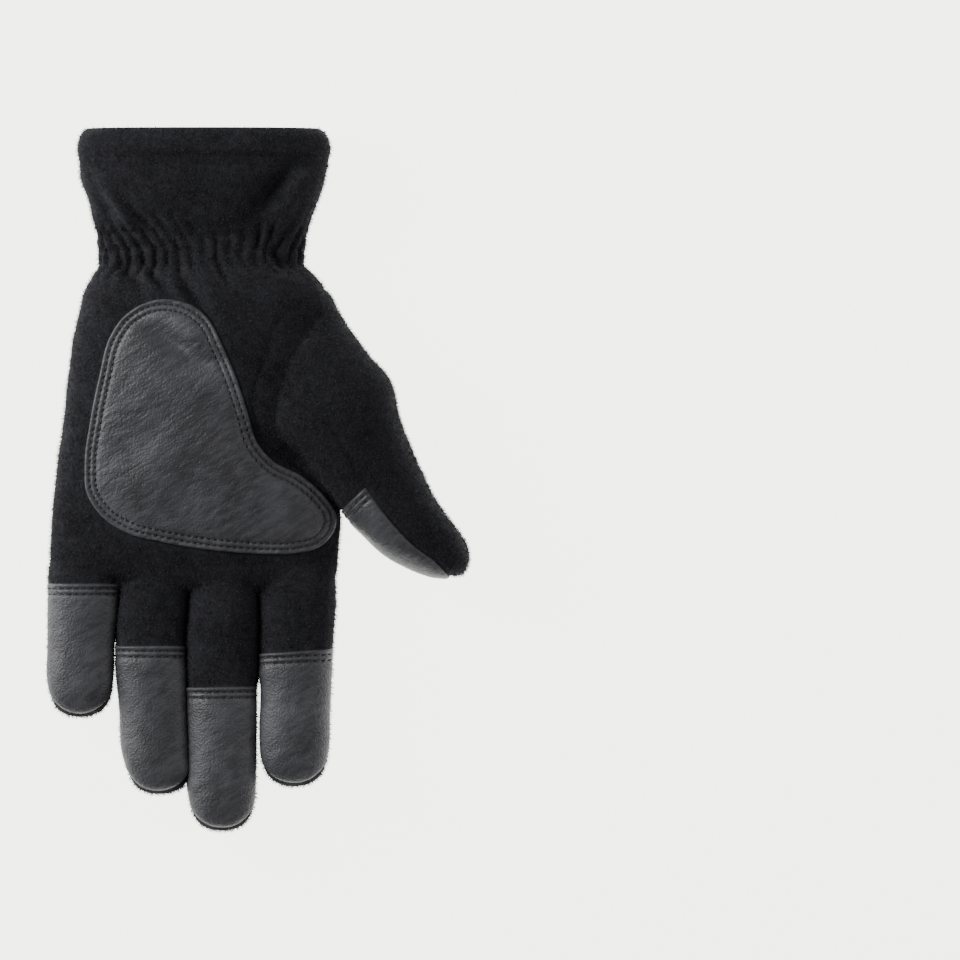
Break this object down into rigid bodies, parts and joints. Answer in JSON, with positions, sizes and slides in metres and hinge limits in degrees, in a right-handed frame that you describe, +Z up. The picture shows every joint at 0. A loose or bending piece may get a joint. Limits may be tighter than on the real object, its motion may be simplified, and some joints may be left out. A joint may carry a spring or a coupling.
{
  "type": "archery glove",
  "caption": "Left-hand archery glove of napped fleece, lying palm up, with a gathered wrist, a flared cuff and leather patches on the palm, fingertips and thumb.",
  "frame": {"origin": "the point of the resting face below the middle of the palm", "axes": "+Z up out of the palm, +Y from the palm to the cuff's mouth, +X to the thumb's side"},
  "size_m": [0.1562, 0.2599, 0.0317],
  "materials": {
    "fleece": "napped, matte",
    "leather": "fine grain, satin"
  },
  "bodies": {
    "root": {"palm_panel": "fleece", "back_panel": "fleece", "thumb_pad_panel": "fleece", "thumb_back_panel": "fleece", "palm_patch": "leather", "thumb_patch": "leather", "little_finger_patch": "leather", "ring_finger_patch": "leather", "middle_finger_patch": "leather", "index_finger_patch": "leather"}
  },
  "joints": []
}
